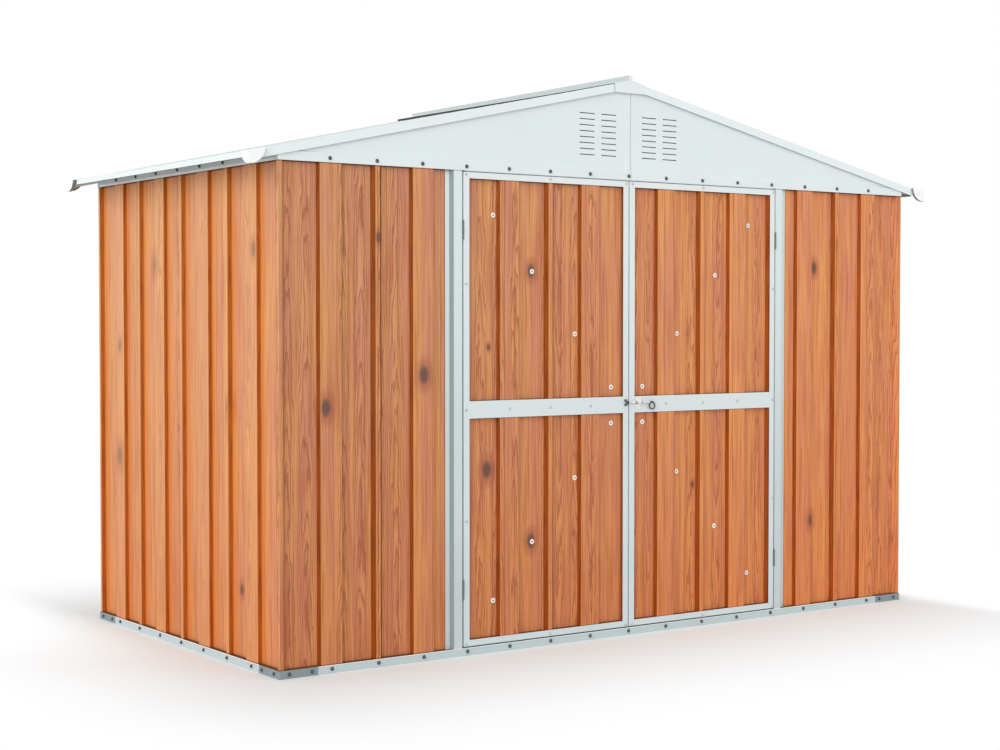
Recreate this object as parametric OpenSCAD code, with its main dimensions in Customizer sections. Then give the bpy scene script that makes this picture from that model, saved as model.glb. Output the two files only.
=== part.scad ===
// Metal garden shed with a shallow gable roof and two hinged door leaves.
// All walls are folded sheets standing in a base rail. The origin is the
// middle of the footprint on the ground, +Z is up and the doors face -Y.

/* [Overall] */
// Width of one wall module, from one narrow rib to the next
module_w = 400; // [380:5:420]
// Number of wall modules along the front
front_modules = 8; // [8:2:10]
// Number of wall modules along each side
side_modules = 4; // [4:2:8]
// Height of the wall that shows between the base rail and the gable flange
wall_h = 1836; // [1600:2000]
// Thickness of every folded sheet
sheet_t = 1; // [0.8:0.1:1.2]

/* [Wall ribs] */
// How far a rib stands out from the flat of the sheet
rib_depth = 15; // [12:18]
// Width of a wide rib at its top
wide_rib_top_w = 90; // [80:100]
// Width of a wide rib at its foot
wide_rib_foot_w = 106; // [102:120]
// Width of a narrow rib at its top
narrow_rib_top_w = 20; // [14:26]
// Width of a narrow rib at its foot
narrow_rib_foot_w = 48; // [40:54]
// Width of the raised strip that a wall has at a corner of the shed
corner_strip_w = 16; // [10:20]

/* [Rails] */
// Height of the base rail
rail_h = 30; // [24:36]
// How far the base rail reaches inwards from the flat of the sheet
rail_reach = 20; // [16:30]
// Height of the inner lip of the base rail
rail_lip = 15; // [10:20]
// Length of each leg of a base corner joiner
corner_leg = 159; // [120:180]
// Height of the flange, header and top rail that grip the top of a wall
flange_h = 34; // [30:40]
// How far a header or a top rail reaches inwards
header_reach = 24; // [18:30]
// How far the wall sheets stop short of the top of the flange
flange_cover = 4; // [2:8]
// Height of the step between the flange and the face of a gable
flange_step_h = 3; // [2:6]

/* [Doors] */
// Width of one door leaf
leaf_w = 813; // [760:5:860]
// Gap between the two closed leaves
meeting_gap = 6; // [5:0.5:8]
// Gap between a leaf and its post
hinge_gap = 8; // [7:0.5:10]
// Gap under a leaf
sill_gap = 5; // [5:0.5:8]
// Gap over a leaf
head_gap = 5; // [5:0.5:8]
// Width of the stile on the hinge side
hinge_stile_w = 26; // [22:34]
// Width of the stile on the meeting side
meeting_stile_w = 27; // [24:34]
// Height of the top rail of a leaf
top_rail_h = 24; // [20:44]
// Height of the middle rail of a leaf
mid_rail_h = 67; // [60:80]
// Height of the bottom rail of a leaf
bottom_rail_h = 24; // [20:40]
// Height of the centre of the middle rail above the base rail
mid_rail_z = 918; // [850:970]
// How far the edge of a leaf is folded in behind the flat of the sheet
leaf_return = 3; // [3:0.5:5]
// Width of a door brace
brace_w = 40; // [30:50]
// Thickness of a door brace
brace_t = 2; // [1.5:0.1:2.5]
// Distance from the hinge edge of a leaf to the outer end of a brace
brace_hinge_inset = 115; // [100:140]
// Distance from the meeting edge of a leaf to the inner end of a brace
brace_meeting_inset = 50; // [45:90]
// Distance from the top or bottom of a leaf to the outer end of a brace
brace_end_inset = 125; // [100:160]
// Distance from the middle rail to the inner end of a brace
brace_mid_inset = 20; // [10:50]

/* [Door posts] */
// Width of the raised face of a door post
post_face_w = 38; // [30:46]
// Run of the sloping flank of a door post
post_flank_w = 11; // [8:14]
// Width of the lip of a door post that covers the wall sheet
post_lip_w = 19; // [14:24]
// How far a door post reaches inwards from the flat of the sheet
post_reach = 25; // [20:40]
// Width of the inner lip of a door post
post_inner_lip_w = 20; // [14:24]
// Gap between the edge of the front wall sheet and the foot of a door post
post_sheet_gap = 2; // [1:4]

/* [Hinges] */
// Radius of a hinge barrel
barrel_r = 3.4; // [3:0.1:3.4]
// Radius of a hinge pin
pin_r = 1.5; // [1.2:0.1:1.8]
// Clearance round a hinge pin and between the knuckles
hinge_play = 0.2; // [0.15:0.05:0.3]
// Height of a hinge
hinge_h = 72; // [60:90]
// Distance from the middle of a hinge to the nearer end of the doorway
hinge_inset = 226; // [180:400]
// How far the hinge axis stands out from the face of the leaf
axis_out = 2; // [1:0.5:3]
// Depth of a hinge plate
plate_depth = 24; // [16:28]
// Thickness of a hinge plate
plate_t = 1.2; // [0.8:0.1:1.3]
// Clearance between a hinge barrel and the plate that passes behind it
barrel_clear = 1; // [0.8:0.1:1.5]

/* [Slide bolt] */
// Height of the slide bolt above the base rail
bolt_z = 926; // [905:935]
// Radius of the bolt rod
bolt_r = 4; // [3:0.5:5]
// Radial clearance of the rod in the tunnel of its plate
bolt_play = 0.5; // [0.3:0.1:0.8]
// How far the drawn bolt stands back from the middle of the doorway
bolt_tip_x = 5; // [4:8]
// Length of the bolt rod from its tip to the root of its ring
bolt_len = 100; // [94:120]
// Radius of the ring handle, to the middle of its wire
ring_r = 14.5; // [12:0.5:18]
// Radius of the wire of the ring handle
ring_wire_r = 2.5; // [2:0.25:3]
// Distance from the middle of the doorway to the bolt plate
bolt_plate_x = 21; // [18:26]
// Length of the bolt plate
bolt_plate_len = 56; // [46:58]
// Height of the bolt plate
bolt_plate_h = 44; // [38:50]
// Thickness of the bolt plate, its tunnel and the keeper
bolt_plate_t = 1.5; // [1:0.1:2]
// Length of the tunnel that the rod slides in
tunnel_len = 32; // [24:36]
// Clearance between the rod and the bolt plate
rod_lift = 1.5; // [1:0.5:2.5]
// Distance from the middle of the doorway to the keeper
keeper_x = 10; // [8:14]
// Width of the keeper
keeper_w = 13; // [10:16]
// Height of each foot of the keeper
keeper_foot_h = 7; // [5:10]
// Clearance of the rod in the keeper
keeper_play = 1.5; // [1:0.5:2]

/* [Roof] */
// Pitch of the roof in degrees
roof_pitch = 12.3; // [10:0.1:16]
// Height of the top of the roof over the wall face, above the top of the wall that shows
roof_lift = 50; // [48:64]
// Overhang of the roof at the eaves
eave_overhang = 115; // [90:140]
// Overhang of the roof in front of the gable and behind it
verge_overhang = 8; // [6:24]
// Depth of the ribs in the roof sheets
roof_rib = 15; // [12:18]
// Distance between the ribs in the roof sheets
roof_rib_step = 200; // [150:10:250]
// Width of a roof rib at its top
roof_rib_top_w = 30; // [24:36]
// Width of a roof rib at its foot
roof_rib_foot_w = 60; // [50:70]
// Gap between each roof sheet and the line of the ridge
ridge_gap = 10; // [6:16]
// Height of the face of a verge trim
verge_face_h = 32; // [28:46]
// Width of the flange of a verge trim that lies on the roof
verge_flange_w = 50; // [44:60]
// Height of the face of an eave trim
eave_face_h = 21; // [16:36]
// Width of the flange of an eave trim that lies on the roof
eave_flange_w = 40; // [30:50]
// Width of the bottom lip of an eave trim
eave_lip_w = 12; // [8:16]
// Clearance under an eave trim, and again under a roof corner cap
trim_seat = 0.2; // [0.1:0.05:0.4]
// Width of each wing of the ridge cap
cap_wing = 84; // [70:110]
// Clearance between the ridge cap and the ribs of the roof sheets
cap_rise = 3; // [2:6]
// Width of the raised seam along the middle of the ridge cap
ridge_seam_w = 18; // [14:19]
// Height of the raised seam along the middle of the ridge cap
ridge_seam_h = 20; // [8:26]
// Width of a roof corner cap along the verge
corner_verge_w = 68; // [56:84]
// Width of a roof corner cap along the eave
corner_eave_w = 54; // [44:70]
// Height of a roof corner cap at its corner
corner_cap_h = 47; // [36:60]
// Thickness of a roof corner cap
corner_cap_t = 2; // [1.5:0.5:3]
// How far a roof corner cap stands off the trims that it covers
corner_cap_gap = 12; // [3:16]

/* [Roof frame] */
// Width of the ridge beam
ridge_beam_w = 90; // [70:120]
// Depth of the ridge beam
ridge_beam_h = 50; // [40:70]
// Width of a purlin
purlin_w = 40; // [30:60]
// Depth of a purlin
purlin_h = 45; // [30:60]

/* [Gable vents] */
// Length of one vent slit
slit_len = 76; // [60:90]
// Height of one vent slit
slit_h = 3.6; // [3:0.1:3.9]
// Number of slits in one column
slit_rows = 8; // [4:10]
// Distance between the slits of a column
slit_pitch = 23.7; // [20:0.1:26]
// Distance from the middle of the gable to the first column
slit_x = 106; // [80:112]
// Distance between the two columns of a gable half
slit_column_pitch = 111; // [100:130]
// Height of the lowest slit above the top of the wall that shows
slit_lift = 91; // [86:104]

/* [Hidden] */

$fn = 48;

// Colours
wood_print = [0.80, 0.53, 0.35];
pale_grey = [0.85, 0.88, 0.88];
rail_grey = [0.67, 0.73, 0.74];
dark_grey = [0.55, 0.57, 0.57];
zinc = [0.75, 0.76, 0.76];

// Plan of the walls. u runs along a wall from its corner grid line and
// d is the distance outwards from the flat of the sheet.
wall_len = front_modules * module_w;
wall_dep = side_modules * module_w;
face_d = rib_depth + sheet_t;
rail_d = face_d + sheet_t;
flange_z = rail_h + wall_h;
wall_top = flange_z + flange_h - flange_cover;

// Doorway
leaf_z0 = rail_h + sill_gap;
leaf_z1 = flange_z - head_gap;
axis_x = leaf_w + meeting_gap / 2 + hinge_gap / 2;
axis_d = face_d + axis_out;
post_edge = wall_len / 2 - axis_x - hinge_gap / 2;
post_foot = post_edge - post_face_w - post_flank_w;
mid_z = rail_h + mid_rail_z;
bolt_axis_z = rail_h + bolt_z;
bolt_axis_d = face_d + bolt_plate_t + rod_lift + bolt_r;
ring_reach = bolt_play + sqrt(pow(ring_r + ring_wire_r, 2) - pow(ring_r - bolt_r, 2));

// Roof planes. s runs down the slope from the line of the ridge.
half_x = wall_len / 2 + rib_depth;
half_y = wall_dep / 2 + rib_depth;
ridge_z = flange_z + roof_lift + tan(roof_pitch) * half_x;
roof_under = roof_rib + sheet_t;
eave_x = half_x + eave_overhang;
eave_s = (eave_x - sheet_t) / cos(roof_pitch);
verge_y = half_y + verge_overhang;
gable_d = rib_depth - sheet_t;

function roof_top_at(x) = ridge_z - tan(roof_pitch) * x;
function roof_under_at(x) = roof_top_at(x) - roof_under / cos(roof_pitch);

// Folded sheet: a line of points and the same line moved to its right
function right_of(a, b) = [b[1] - a[1], a[0] - b[0]] / norm(b - a);
function fold_corner(p, before, after, t) = p + (before + after) * t / (1 + before * after);
function fold_side(pts, t) = let (last = len(pts) - 1) [
    for (i = [0:last])
        fold_corner(
            pts[i],
            right_of(pts[max(i - 1, 0)], pts[max(i, 1)]),
            right_of(pts[min(i, last - 1)], pts[min(i + 1, last)]),
            t
        )
];
function backwards(pts) = [for (i = [len(pts) - 1:-1:0]) pts[i]];

module folded(pts, t = sheet_t) {
    polygon(concat(pts, backwards(fold_side(pts, t))));
}

// A folded line seen in plan, standing from z0 to z1
module upright(pts, z0, z1) {
    translate([0, 0, z0])
        linear_extrude(z1 - z0)
            folded(pts);
}

// A folded line seen in section, running along the wall from u0 to u1
module along(pts, u0, u1, t = sheet_t) {
    translate([u0, 0, 0])
        rotate([90, 0, 90])
            linear_extrude(u1 - u0)
                folded(pts, t);
}

// Places for the four walls
module on_front() {
    translate([-wall_len / 2, -wall_dep / 2, 0])
        mirror([0, 1, 0])
            children();
}

module on_back() {
    translate([-wall_len / 2, wall_dep / 2, 0])
        children();
}

module on_left() {
    translate([-wall_len / 2, -wall_dep / 2, 0])
        rotate([0, 0, 90])
            children();
}

module on_right() {
    mirror([1, 0, 0])
        on_left()
            children();
}

// Profile of a wall sheet
function rib(c, top, foot) = [
    [c - foot / 2, 0],
    [c - top / 2, rib_depth],
    [c + top / 2, rib_depth],
    [c + foot / 2, 0],
];
function ribs(u0, u1) = [
    for (k = [1:2 * front_modules])
        let (c = k * module_w / 2)
            if (c > u0 + narrow_rib_foot_w && c < u1 - narrow_rib_foot_w)
                each (
                    k % 2 == 1
                    ? rib(c, wide_rib_top_w, wide_rib_foot_w)
                    : rib(c, narrow_rib_top_w, narrow_rib_foot_w)
                )
];
rib_flank_w = (narrow_rib_foot_w - narrow_rib_top_w) / 2;
function corner_start() = [
    [-rib_depth, rib_depth],
    [corner_strip_w - rib_depth, rib_depth],
    [corner_strip_w - rib_depth + rib_flank_w, 0],
];
function lap_start(u) = [
    [u, rib_depth],
    [u + narrow_rib_top_w / 2, rib_depth],
    [u + narrow_rib_foot_w / 2, 0],
];
function turned(pts, u) = backwards([for (p = pts) [u - p[0], p[1]]]);
function lap_end(u) = turned(lap_start(0), u);

// The corner of a side wall stands behind the corner of the front wall
function tucked(pts) = [for (p = pts) [max(p[0], sheet_t - rib_depth), p[1]]];

module wall_sheet(pts) {
    upright(pts, sheet_t, wall_top);
}

module front_wall_sheet() {
    color(wood_print)
        wall_sheet(concat(corner_start(), ribs(0, post_foot), [[post_foot - post_sheet_gap, 0]]));
}

module front_wall_left() {
    on_front()
        front_wall_sheet();
}

module front_wall_right() {
    mirror([1, 0, 0])
        front_wall_left();
}

module side_wall_near_sheet() {
    color(wood_print)
        wall_sheet(concat(tucked(corner_start()), ribs(0, wall_dep / 2), lap_end(wall_dep / 2)));
}

module left_wall_front_sheet() {
    on_left()
        side_wall_near_sheet();
}

module left_wall_back_sheet() {
    mirror([0, 1, 0])
        left_wall_front_sheet();
}

module right_wall_front_sheet() {
    on_right()
        side_wall_near_sheet();
}

module right_wall_back_sheet() {
    mirror([0, 1, 0])
        right_wall_front_sheet();
}

module back_wall_left_sheet() {
    color(wood_print)
        on_back()
            wall_sheet(concat(corner_start(), ribs(0, wall_len / 2), lap_end(wall_len / 2)));
}

module back_wall_right_sheet() {
    mirror([1, 0, 0])
        back_wall_left_sheet();
}

// Base rails. The long ones turn round the corners of the shed, and the
// inner lips stop where the side walls stand.
module base_rail(u0, u1) {
    line = [
        [rail_d, rail_h],
        [rail_d, 0],
        [-rail_reach, 0],
    ];
    along(line, u0, u1);
}

module base_rail_lip(length) {
    translate([rail_reach, -rail_reach, 0])
        cube([length - 2 * rail_reach, sheet_t, rail_lip]);
}

module base_rail_long() {
    on_front() {
        base_rail(-rail_d, wall_len + rail_d);
        base_rail_lip(wall_len);
    }
}

module base_rails_long() {
    color(rail_grey) {
        base_rail_long();
        mirror([0, 1, 0])
            base_rail_long();
    }
}

module base_rail_side() {
    on_left() {
        base_rail(rail_reach, wall_dep - rail_reach);
        base_rail_lip(wall_dep);
    }
}

module base_rails_side() {
    color(rail_grey) {
        base_rail_side();
        mirror([1, 0, 0])
            base_rail_side();
    }
}

module base_corner() {
    outer = rail_d + sheet_t;
    line = [[corner_leg - outer, outer], [-outer, outer], [-outer, outer - corner_leg]];
    color(dark_grey)
        translate([-wall_len / 2, -wall_dep / 2, 0])
            mirror([0, 1, 0])
                upright(backwards(line), 0, rail_h);
}

module base_corners() {
    for (mx = [0, 1])
        for (my = [0, 1])
            mirror([mx, 0, 0])
                mirror([0, my, 0])
                    base_corner();
}

// Rails at the top of the walls
module side_top_rail() {
    inner_x = half_x - rib_depth - header_reach;
    outer_x = half_x + sheet_t;
    line = [
        [inner_x - wall_len / 2, roof_under_at(inner_x)],
        [outer_x - wall_len / 2, roof_under_at(outer_x)],
        [outer_x - wall_len / 2, flange_z],
    ];
    end = gable_d - sheet_t;
    color(rail_grey)
        along(line, -end, wall_dep + end);
}

module side_top_rails() {
    on_left()
        side_top_rail();
    on_right()
        side_top_rail();
}

module door_header() {
    line = [
        [face_d, wall_top],
        [face_d, flange_z + sheet_t],
        [-header_reach, flange_z + sheet_t],
        [-header_reach, wall_top],
    ];
    color(pale_grey)
        on_front()
            along(line, post_edge, wall_len - post_edge);
}

module back_header() {
    line = [
        [-header_reach, wall_top - sheet_t],
        [-header_reach, flange_z],
        [-sheet_t, flange_z],
        [-sheet_t, wall_top],
    ];
    color(pale_grey)
        on_back()
            along(backwards(line), rail_reach, wall_len - rail_reach);
}

// Door posts
module door_post_left() {
    line = [
        [post_foot - post_lip_w, sheet_t],
        [post_foot, sheet_t],
        [post_foot + post_flank_w, face_d],
        [post_edge, face_d],
        [post_edge, -post_reach],
        [post_edge - post_inner_lip_w, -post_reach],
    ];
    color(pale_grey)
        on_front()
            upright(line, rail_h, wall_top);
}

module door_post_right() {
    mirror([1, 0, 0])
        door_post_left();
}

// Gable halves
module gable_section() {
    line = [
        [gable_d, ridge_z],
        [gable_d, flange_z + flange_h + flange_step_h],
        [rail_d, flange_z + flange_h],
        [rail_d, flange_z],
    ];
    along(line, -rail_d, wall_len / 2);
}

module under_roof() {
    outline = [
        [-rail_d, 0],
        [wall_len / 2, 0],
        [wall_len / 2, roof_under_at(0)],
        [-rail_d, roof_under_at(wall_len / 2 + rail_d)],
    ];
    translate([0, 2 * rail_d, 0])
        rotate([90, 0, 0])
            linear_extrude(3 * rail_d)
                polygon(outline);
}

module slits() {
    for (column = [0:1])
        for (row = [0:slit_rows - 1])
            translate([
                wall_len / 2 - slit_x - column * slit_column_pitch - slit_len / 2,
                0,
                flange_z + slit_lift + row * slit_pitch
            ])
                cube([slit_len, rail_d, slit_h]);
}

module gable_half() {
    color(pale_grey)
        difference() {
            intersection() {
                gable_section();
                under_roof();
            }
            slits();
        }
}

module gable_front_left() {
    on_front()
        gable_half();
}

module gable_front_right() {
    mirror([1, 0, 0])
        gable_front_left();
}

module gable_back_left() {
    on_back()
        gable_half();
}

module gable_back_right() {
    mirror([1, 0, 0])
        gable_back_left();
}

// Roof. A slope is drawn flat and then tilted: s along x, normal along z.
module on_slope_right() {
    translate([0, 0, ridge_z])
        rotate([0, roof_pitch, 0])
            children();
}

function roof_line() = concat(
    [[-verge_y + sheet_t, -roof_rib]],
    [
        for (k = [-floor(verge_y / roof_rib_step):floor(verge_y / roof_rib_step)])
            let (c = k * roof_rib_step)
                if (abs(c) + roof_rib_foot_w / 2 < verge_y - sheet_t)
                    each [
                        [c - roof_rib_foot_w / 2, -roof_rib],
                        [c - roof_rib_top_w / 2, 0],
                        [c + roof_rib_top_w / 2, 0],
                        [c + roof_rib_foot_w / 2, -roof_rib],
                    ]
    ],
    [[verge_y - sheet_t, -roof_rib]]
);

module roof_sheet_right() {
    color(pale_grey)
        on_slope_right()
            along(roof_line(), ridge_gap, eave_s);
}

module roof_sheet_left() {
    mirror([1, 0, 0])
        roof_sheet_right();
}

module ridge_beam() {
    half = ridge_beam_w / 2;
    line = [
        [-half, roof_under_at(half) - ridge_beam_h],
        [-half, roof_under_at(half)],
        [0, roof_under_at(0)],
        [half, roof_under_at(half)],
        [half, roof_under_at(half) - ridge_beam_h],
    ];
    length = wall_dep + 2 * (gable_d - sheet_t);
    translate([0, length / 2, 0])
        rotate([90, 0, 0])
            linear_extrude(length)
                folded(line);
}

module purlin_right() {
    middle = eave_s / 2;
    length = wall_dep + 2 * (gable_d - sheet_t);
    line = [
        [middle - purlin_w / 2, -roof_under - purlin_h],
        [middle - purlin_w / 2, -roof_under],
        [middle + purlin_w / 2, -roof_under],
        [middle + purlin_w / 2, -roof_under - purlin_h],
    ];
    on_slope_right()
        translate([0, length / 2, 0])
            rotate([90, 0, 0])
                linear_extrude(length)
                    folded(line);
}

module roof_purlins() {
    color(rail_grey) {
        ridge_beam();
        purlin_right();
        mirror([1, 0, 0])
            purlin_right();
    }
}

// Ridge cap: two wings over the slopes, a raised seam between them and a
// plate at each end that closes the peak between the verge trims
function cap_top_at(x) = roof_top_at(x) + (cap_rise + sheet_t) / cos(roof_pitch);

function cap_line() = let (
    seam_x = ridge_seam_w / 2,
    seam_z = cap_top_at(seam_x),
    half = [
        [cap_wing, cap_top_at(cap_wing)],
        [seam_x, seam_z],
        [seam_x, seam_z + ridge_seam_h],
    ]
) concat([for (p = half) [-p[0], p[1]]], backwards(half));

module ridge_cap() {
    foot_z = roof_top_at(cap_wing) - (verge_face_h - sheet_t) / cos(roof_pitch);
    reach = verge_y + sheet_t;
    color(pale_grey)
        rotate([90, 0, 0]) {
            translate([0, 0, -reach])
                linear_extrude(2 * reach)
                    folded(cap_line());
            for (z = [-reach, verge_y])
                translate([0, 0, z])
                    linear_extrude(sheet_t)
                        polygon(concat(
                            [[-cap_wing, foot_z]],
                            cap_line(),
                            [[cap_wing, foot_z]]
                        ));
        }
}

module verge_trim_back_right() {
    line = [
        [verge_y - verge_flange_w, sheet_t],
        [verge_y, sheet_t],
        [verge_y, sheet_t - verge_face_h],
    ];
    color(pale_grey)
        on_slope_right()
            along(line, ridge_gap, eave_s);
}

module verge_trim_front_right() {
    mirror([0, 1, 0])
        verge_trim_back_right();
}

module verge_trim_back_left() {
    mirror([1, 0, 0])
        verge_trim_back_right();
}

module verge_trim_front_left() {
    mirror([1, 0, 0])
        verge_trim_front_right();
}

module eave_trim_right() {
    edge_z = roof_top_at(eave_x) + (sheet_t + trim_seat) / cos(roof_pitch);
    line = [
        [eave_x - eave_flange_w, edge_z + tan(roof_pitch) * eave_flange_w],
        [eave_x, edge_z],
        [eave_x, edge_z - eave_face_h],
        [eave_x - eave_lip_w, edge_z - eave_face_h],
    ];
    length = 2 * (verge_y - verge_flange_w);
    translate([0, length / 2, 0])
        rotate([90, 0, 0])
            linear_extrude(length)
                folded(line);
}

module eave_trims() {
    color(pale_grey) {
        eave_trim_right();
        mirror([1, 0, 0])
            eave_trim_right();
    }
}

// Roof corner caps: a lid on the two trims, and a front and a side plate
// that curve in towards the foot of the corner. rise is how much higher
// the lid is at the inner end of the plate.
function corner_plate(width, rise) = concat(
    [[0, 0]],
    [
        for (angle = [0:10:90])
            [-width * cos(angle), rise - (rise + corner_cap_h) * sin(angle)]
    ]
);

module roof_corner_cap() {
    corner_x = eave_x + corner_cap_gap + corner_cap_t;
    corner_y = verge_y + corner_cap_gap + corner_cap_t;
    lift = sheet_t + corner_cap_t + 2 * trim_seat;
    rise = tan(roof_pitch) * corner_verge_w;
    drop = corner_cap_t / cos(roof_pitch);
    lid = [
        [0, 0],
        [-corner_verge_w, rise],
        [-corner_verge_w, rise - drop],
        [0, -drop],
    ];
    color(pale_grey)
        translate([corner_x, corner_y, roof_top_at(corner_x) + lift / cos(roof_pitch)]) {
            rotate([90, 0, 0])
                linear_extrude(corner_eave_w)
                    polygon(lid);
            rotate([90, 0, 0])
                linear_extrude(corner_cap_t)
                    polygon(corner_plate(corner_verge_w, rise));
            translate([-corner_cap_t, 0, 0])
                rotate([90, 0, 90])
                    linear_extrude(corner_cap_t)
                        polygon(corner_plate(corner_eave_w, 0));
        }
}

module roof_corner_caps() {
    for (mx = [0, 1])
        for (my = [0, 1])
            mirror([mx, 0, 0])
                mirror([0, my, 0])
                    roof_corner_cap();
}

// Door leaves, drawn on the front wall on the left of the doorway
leaf_u0 = post_edge + hinge_gap;
leaf_u1 = leaf_u0 + leaf_w;

module door_left_sheet() {
    color(wood_print)
        on_front()
            intersection() {
                upright(
                    concat([[0, 0]], ribs(0, wall_len), [[wall_len, 0]]),
                    leaf_z0 + sheet_t,
                    leaf_z1 - sheet_t
                );
                translate([leaf_u0 + sheet_t, -rail_d, 0])
                    cube([leaf_w - 2 * sheet_t, 2 * rail_d, flange_z]);
            }
}

module door_left_stiles() {
    hinge_line = [
        [leaf_u0, -leaf_return],
        [leaf_u0, face_d],
        [leaf_u0 + hinge_stile_w, face_d],
    ];
    meeting_line = [
        [leaf_u1 - meeting_stile_w, face_d],
        [leaf_u1, face_d],
        [leaf_u1, -leaf_return],
    ];
    color(pale_grey)
        on_front() {
            upright(hinge_line, leaf_z0, leaf_z1);
            upright(meeting_line, leaf_z0, leaf_z1);
        }
}

module door_left_rails() {
    top_line = [
        [-leaf_return, leaf_z1],
        [face_d, leaf_z1],
        [face_d, leaf_z1 - top_rail_h],
    ];
    mid_line = [
        [face_d, mid_z + mid_rail_h / 2],
        [face_d, mid_z - mid_rail_h / 2],
    ];
    bottom_line = [
        [face_d, leaf_z0 + bottom_rail_h],
        [face_d, leaf_z0],
        [-leaf_return, leaf_z0],
    ];
    color(pale_grey)
        on_front()
            for (line = [top_line, mid_line, bottom_line])
                along(line, leaf_u0 + hinge_stile_w, leaf_u1 - meeting_stile_w);
}

module brace(from, to) {
    reach = to - from;
    translate([from[0], -sheet_t, from[1]])
        rotate([90, 0, 0])
            rotate([0, 0, atan2(reach[1], reach[0])])
                translate([0, -brace_w / 2, 0])
                    cube([norm(reach), brace_w, brace_t]);
}

module door_left_braces() {
    outer = leaf_u0 + brace_hinge_inset;
    inner = leaf_u1 - brace_meeting_inset;
    color(pale_grey)
        on_front() {
            brace(
                [outer, leaf_z1 - brace_end_inset],
                [inner, mid_z + mid_rail_h / 2 + brace_mid_inset]
            );
            brace(
                [outer, leaf_z0 + brace_end_inset],
                [inner, mid_z - mid_rail_h / 2 - brace_mid_inset]
            );
        }
}

module door_right_sheet() {
    mirror([1, 0, 0])
        door_left_sheet();
}

module door_right_stiles() {
    mirror([1, 0, 0])
        door_left_stiles();
}

module door_right_rails() {
    mirror([1, 0, 0])
        door_left_rails();
}

module door_right_braces() {
    mirror([1, 0, 0])
        door_left_braces();
}

// Butt hinges. Each has an outer knuckle at both ends on the post and a
// middle knuckle on the leaf.
knuckle_h = hinge_h / 3;
hinge_levels = [rail_h + hinge_inset, flange_z - hinge_inset];

module knuckle(z0, height) {
    translate([0, 0, z0])
        cylinder(h = height, r = barrel_r);
}

module hinge_plate(side_x, z0, height) {
    translate([side_x, -plate_depth, z0])
        cube([plate_t, plate_depth, height]);
}

module fixed_hinge() {
    plate_x = -hinge_gap / 2;
    knuckle(-hinge_h / 2, knuckle_h);
    knuckle(hinge_h / 2 - knuckle_h, knuckle_h);
    translate([0, 0, -hinge_h / 2])
        cylinder(h = hinge_h, r = pin_r);
    hinge_plate(plate_x, -hinge_h / 2, knuckle_h);
    hinge_plate(plate_x, hinge_h / 2 - knuckle_h, knuckle_h);
    translate([plate_x, -plate_depth, -hinge_h / 2])
        cube([plate_t, plate_depth - barrel_r - barrel_clear, hinge_h]);
}

module moving_hinge() {
    height = knuckle_h - 2 * hinge_play;
    plate_x = hinge_gap / 2 - plate_t;
    difference() {
        union() {
            knuckle(-height / 2, height);
            hinge_plate(plate_x, -height / 2, height);
            translate([plate_x, -plate_depth, -hinge_h / 2])
                cube([plate_t, plate_depth - barrel_r - barrel_clear, hinge_h]);
        }
        translate([0, 0, -hinge_h])
            cylinder(h = 2 * hinge_h, r = pin_r + hinge_play);
    }
}

module at_left_hinges() {
    for (z = hinge_levels)
        translate([-axis_x, -wall_dep / 2 - axis_d, z])
            mirror([0, 1, 0])
                children();
}

module hinge_plates_fixed() {
    color(zinc) {
        at_left_hinges()
            fixed_hinge();
        mirror([1, 0, 0])
            at_left_hinges()
                fixed_hinge();
    }
}

module hinge_plates_left() {
    color(zinc)
        at_left_hinges()
            moving_hinge();
}

module hinge_plates_right() {
    mirror([1, 0, 0])
        hinge_plates_left();
}

// Slide bolt on the right leaf, drawn about its own axis along +X
module on_bolt_axis() {
    translate([0, -wall_dep / 2 - bolt_axis_d, bolt_axis_z])
        children();
}

module tunnel() {
    outer = bolt_r + bolt_play + bolt_plate_t;
    rotate([90, 0, 90])
        linear_extrude(tunnel_len)
            union() {
                circle(r = outer);
                translate([0, -outer])
                    square([bolt_axis_d - face_d, 2 * outer]);
            }
}

module bolt_plate() {
    back = bolt_axis_d - face_d;
    color(zinc)
        on_bolt_axis()
            difference() {
                union() {
                    translate([bolt_plate_x, back - bolt_plate_t, -bolt_plate_h / 2])
                        cube([bolt_plate_len, bolt_plate_t, bolt_plate_h]);
                    translate([bolt_plate_x + (bolt_plate_len - tunnel_len) / 2, 0, 0])
                        tunnel();
                }
                rotate([0, 90, 0])
                    cylinder(h = bolt_len, r = bolt_r + bolt_play);
            }
}

module bolt_rod() {
    color(zinc)
        on_bolt_axis()
            translate([bolt_tip_x, 0, 0])
                rotate([0, 90, 0])
                    cylinder(h = bolt_len, r = bolt_r);
}

// The ring hangs from a root that carries on from the end of the rod, and
// ring_reach keeps the spread of the ring just clear of the rod
module bolt_handle() {
    color(zinc)
        on_bolt_axis()
            translate([bolt_tip_x + bolt_len, 0, 0]) {
                rotate([0, 90, 0])
                    cylinder(h = ring_reach + bolt_r, r = bolt_r);
                translate([ring_reach, 0, -ring_r])
                    rotate([90, 0, 0])
                        rotate_extrude()
                            translate([ring_r, 0])
                                circle(r = ring_wire_r, $fn = 24);
            }
}

// The keeper is a strip bent round the rod, with a foot above and below
module bolt_keeper() {
    reach = bolt_r + keeper_play + bolt_plate_t;
    foot_d = face_d + bolt_plate_t;
    line = [
        [foot_d, bolt_axis_z + reach + keeper_foot_h],
        [foot_d, bolt_axis_z + reach],
        [bolt_axis_d + reach, bolt_axis_z + reach],
        [bolt_axis_d + reach, bolt_axis_z - reach],
        [foot_d, bolt_axis_z - reach],
        [foot_d, bolt_axis_z - reach - keeper_foot_h],
    ];
    color(zinc)
        on_front()
            along(
                line,
                wall_len / 2 - keeper_x - keeper_w,
                wall_len / 2 - keeper_x,
                bolt_plate_t
            );
}

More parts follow.
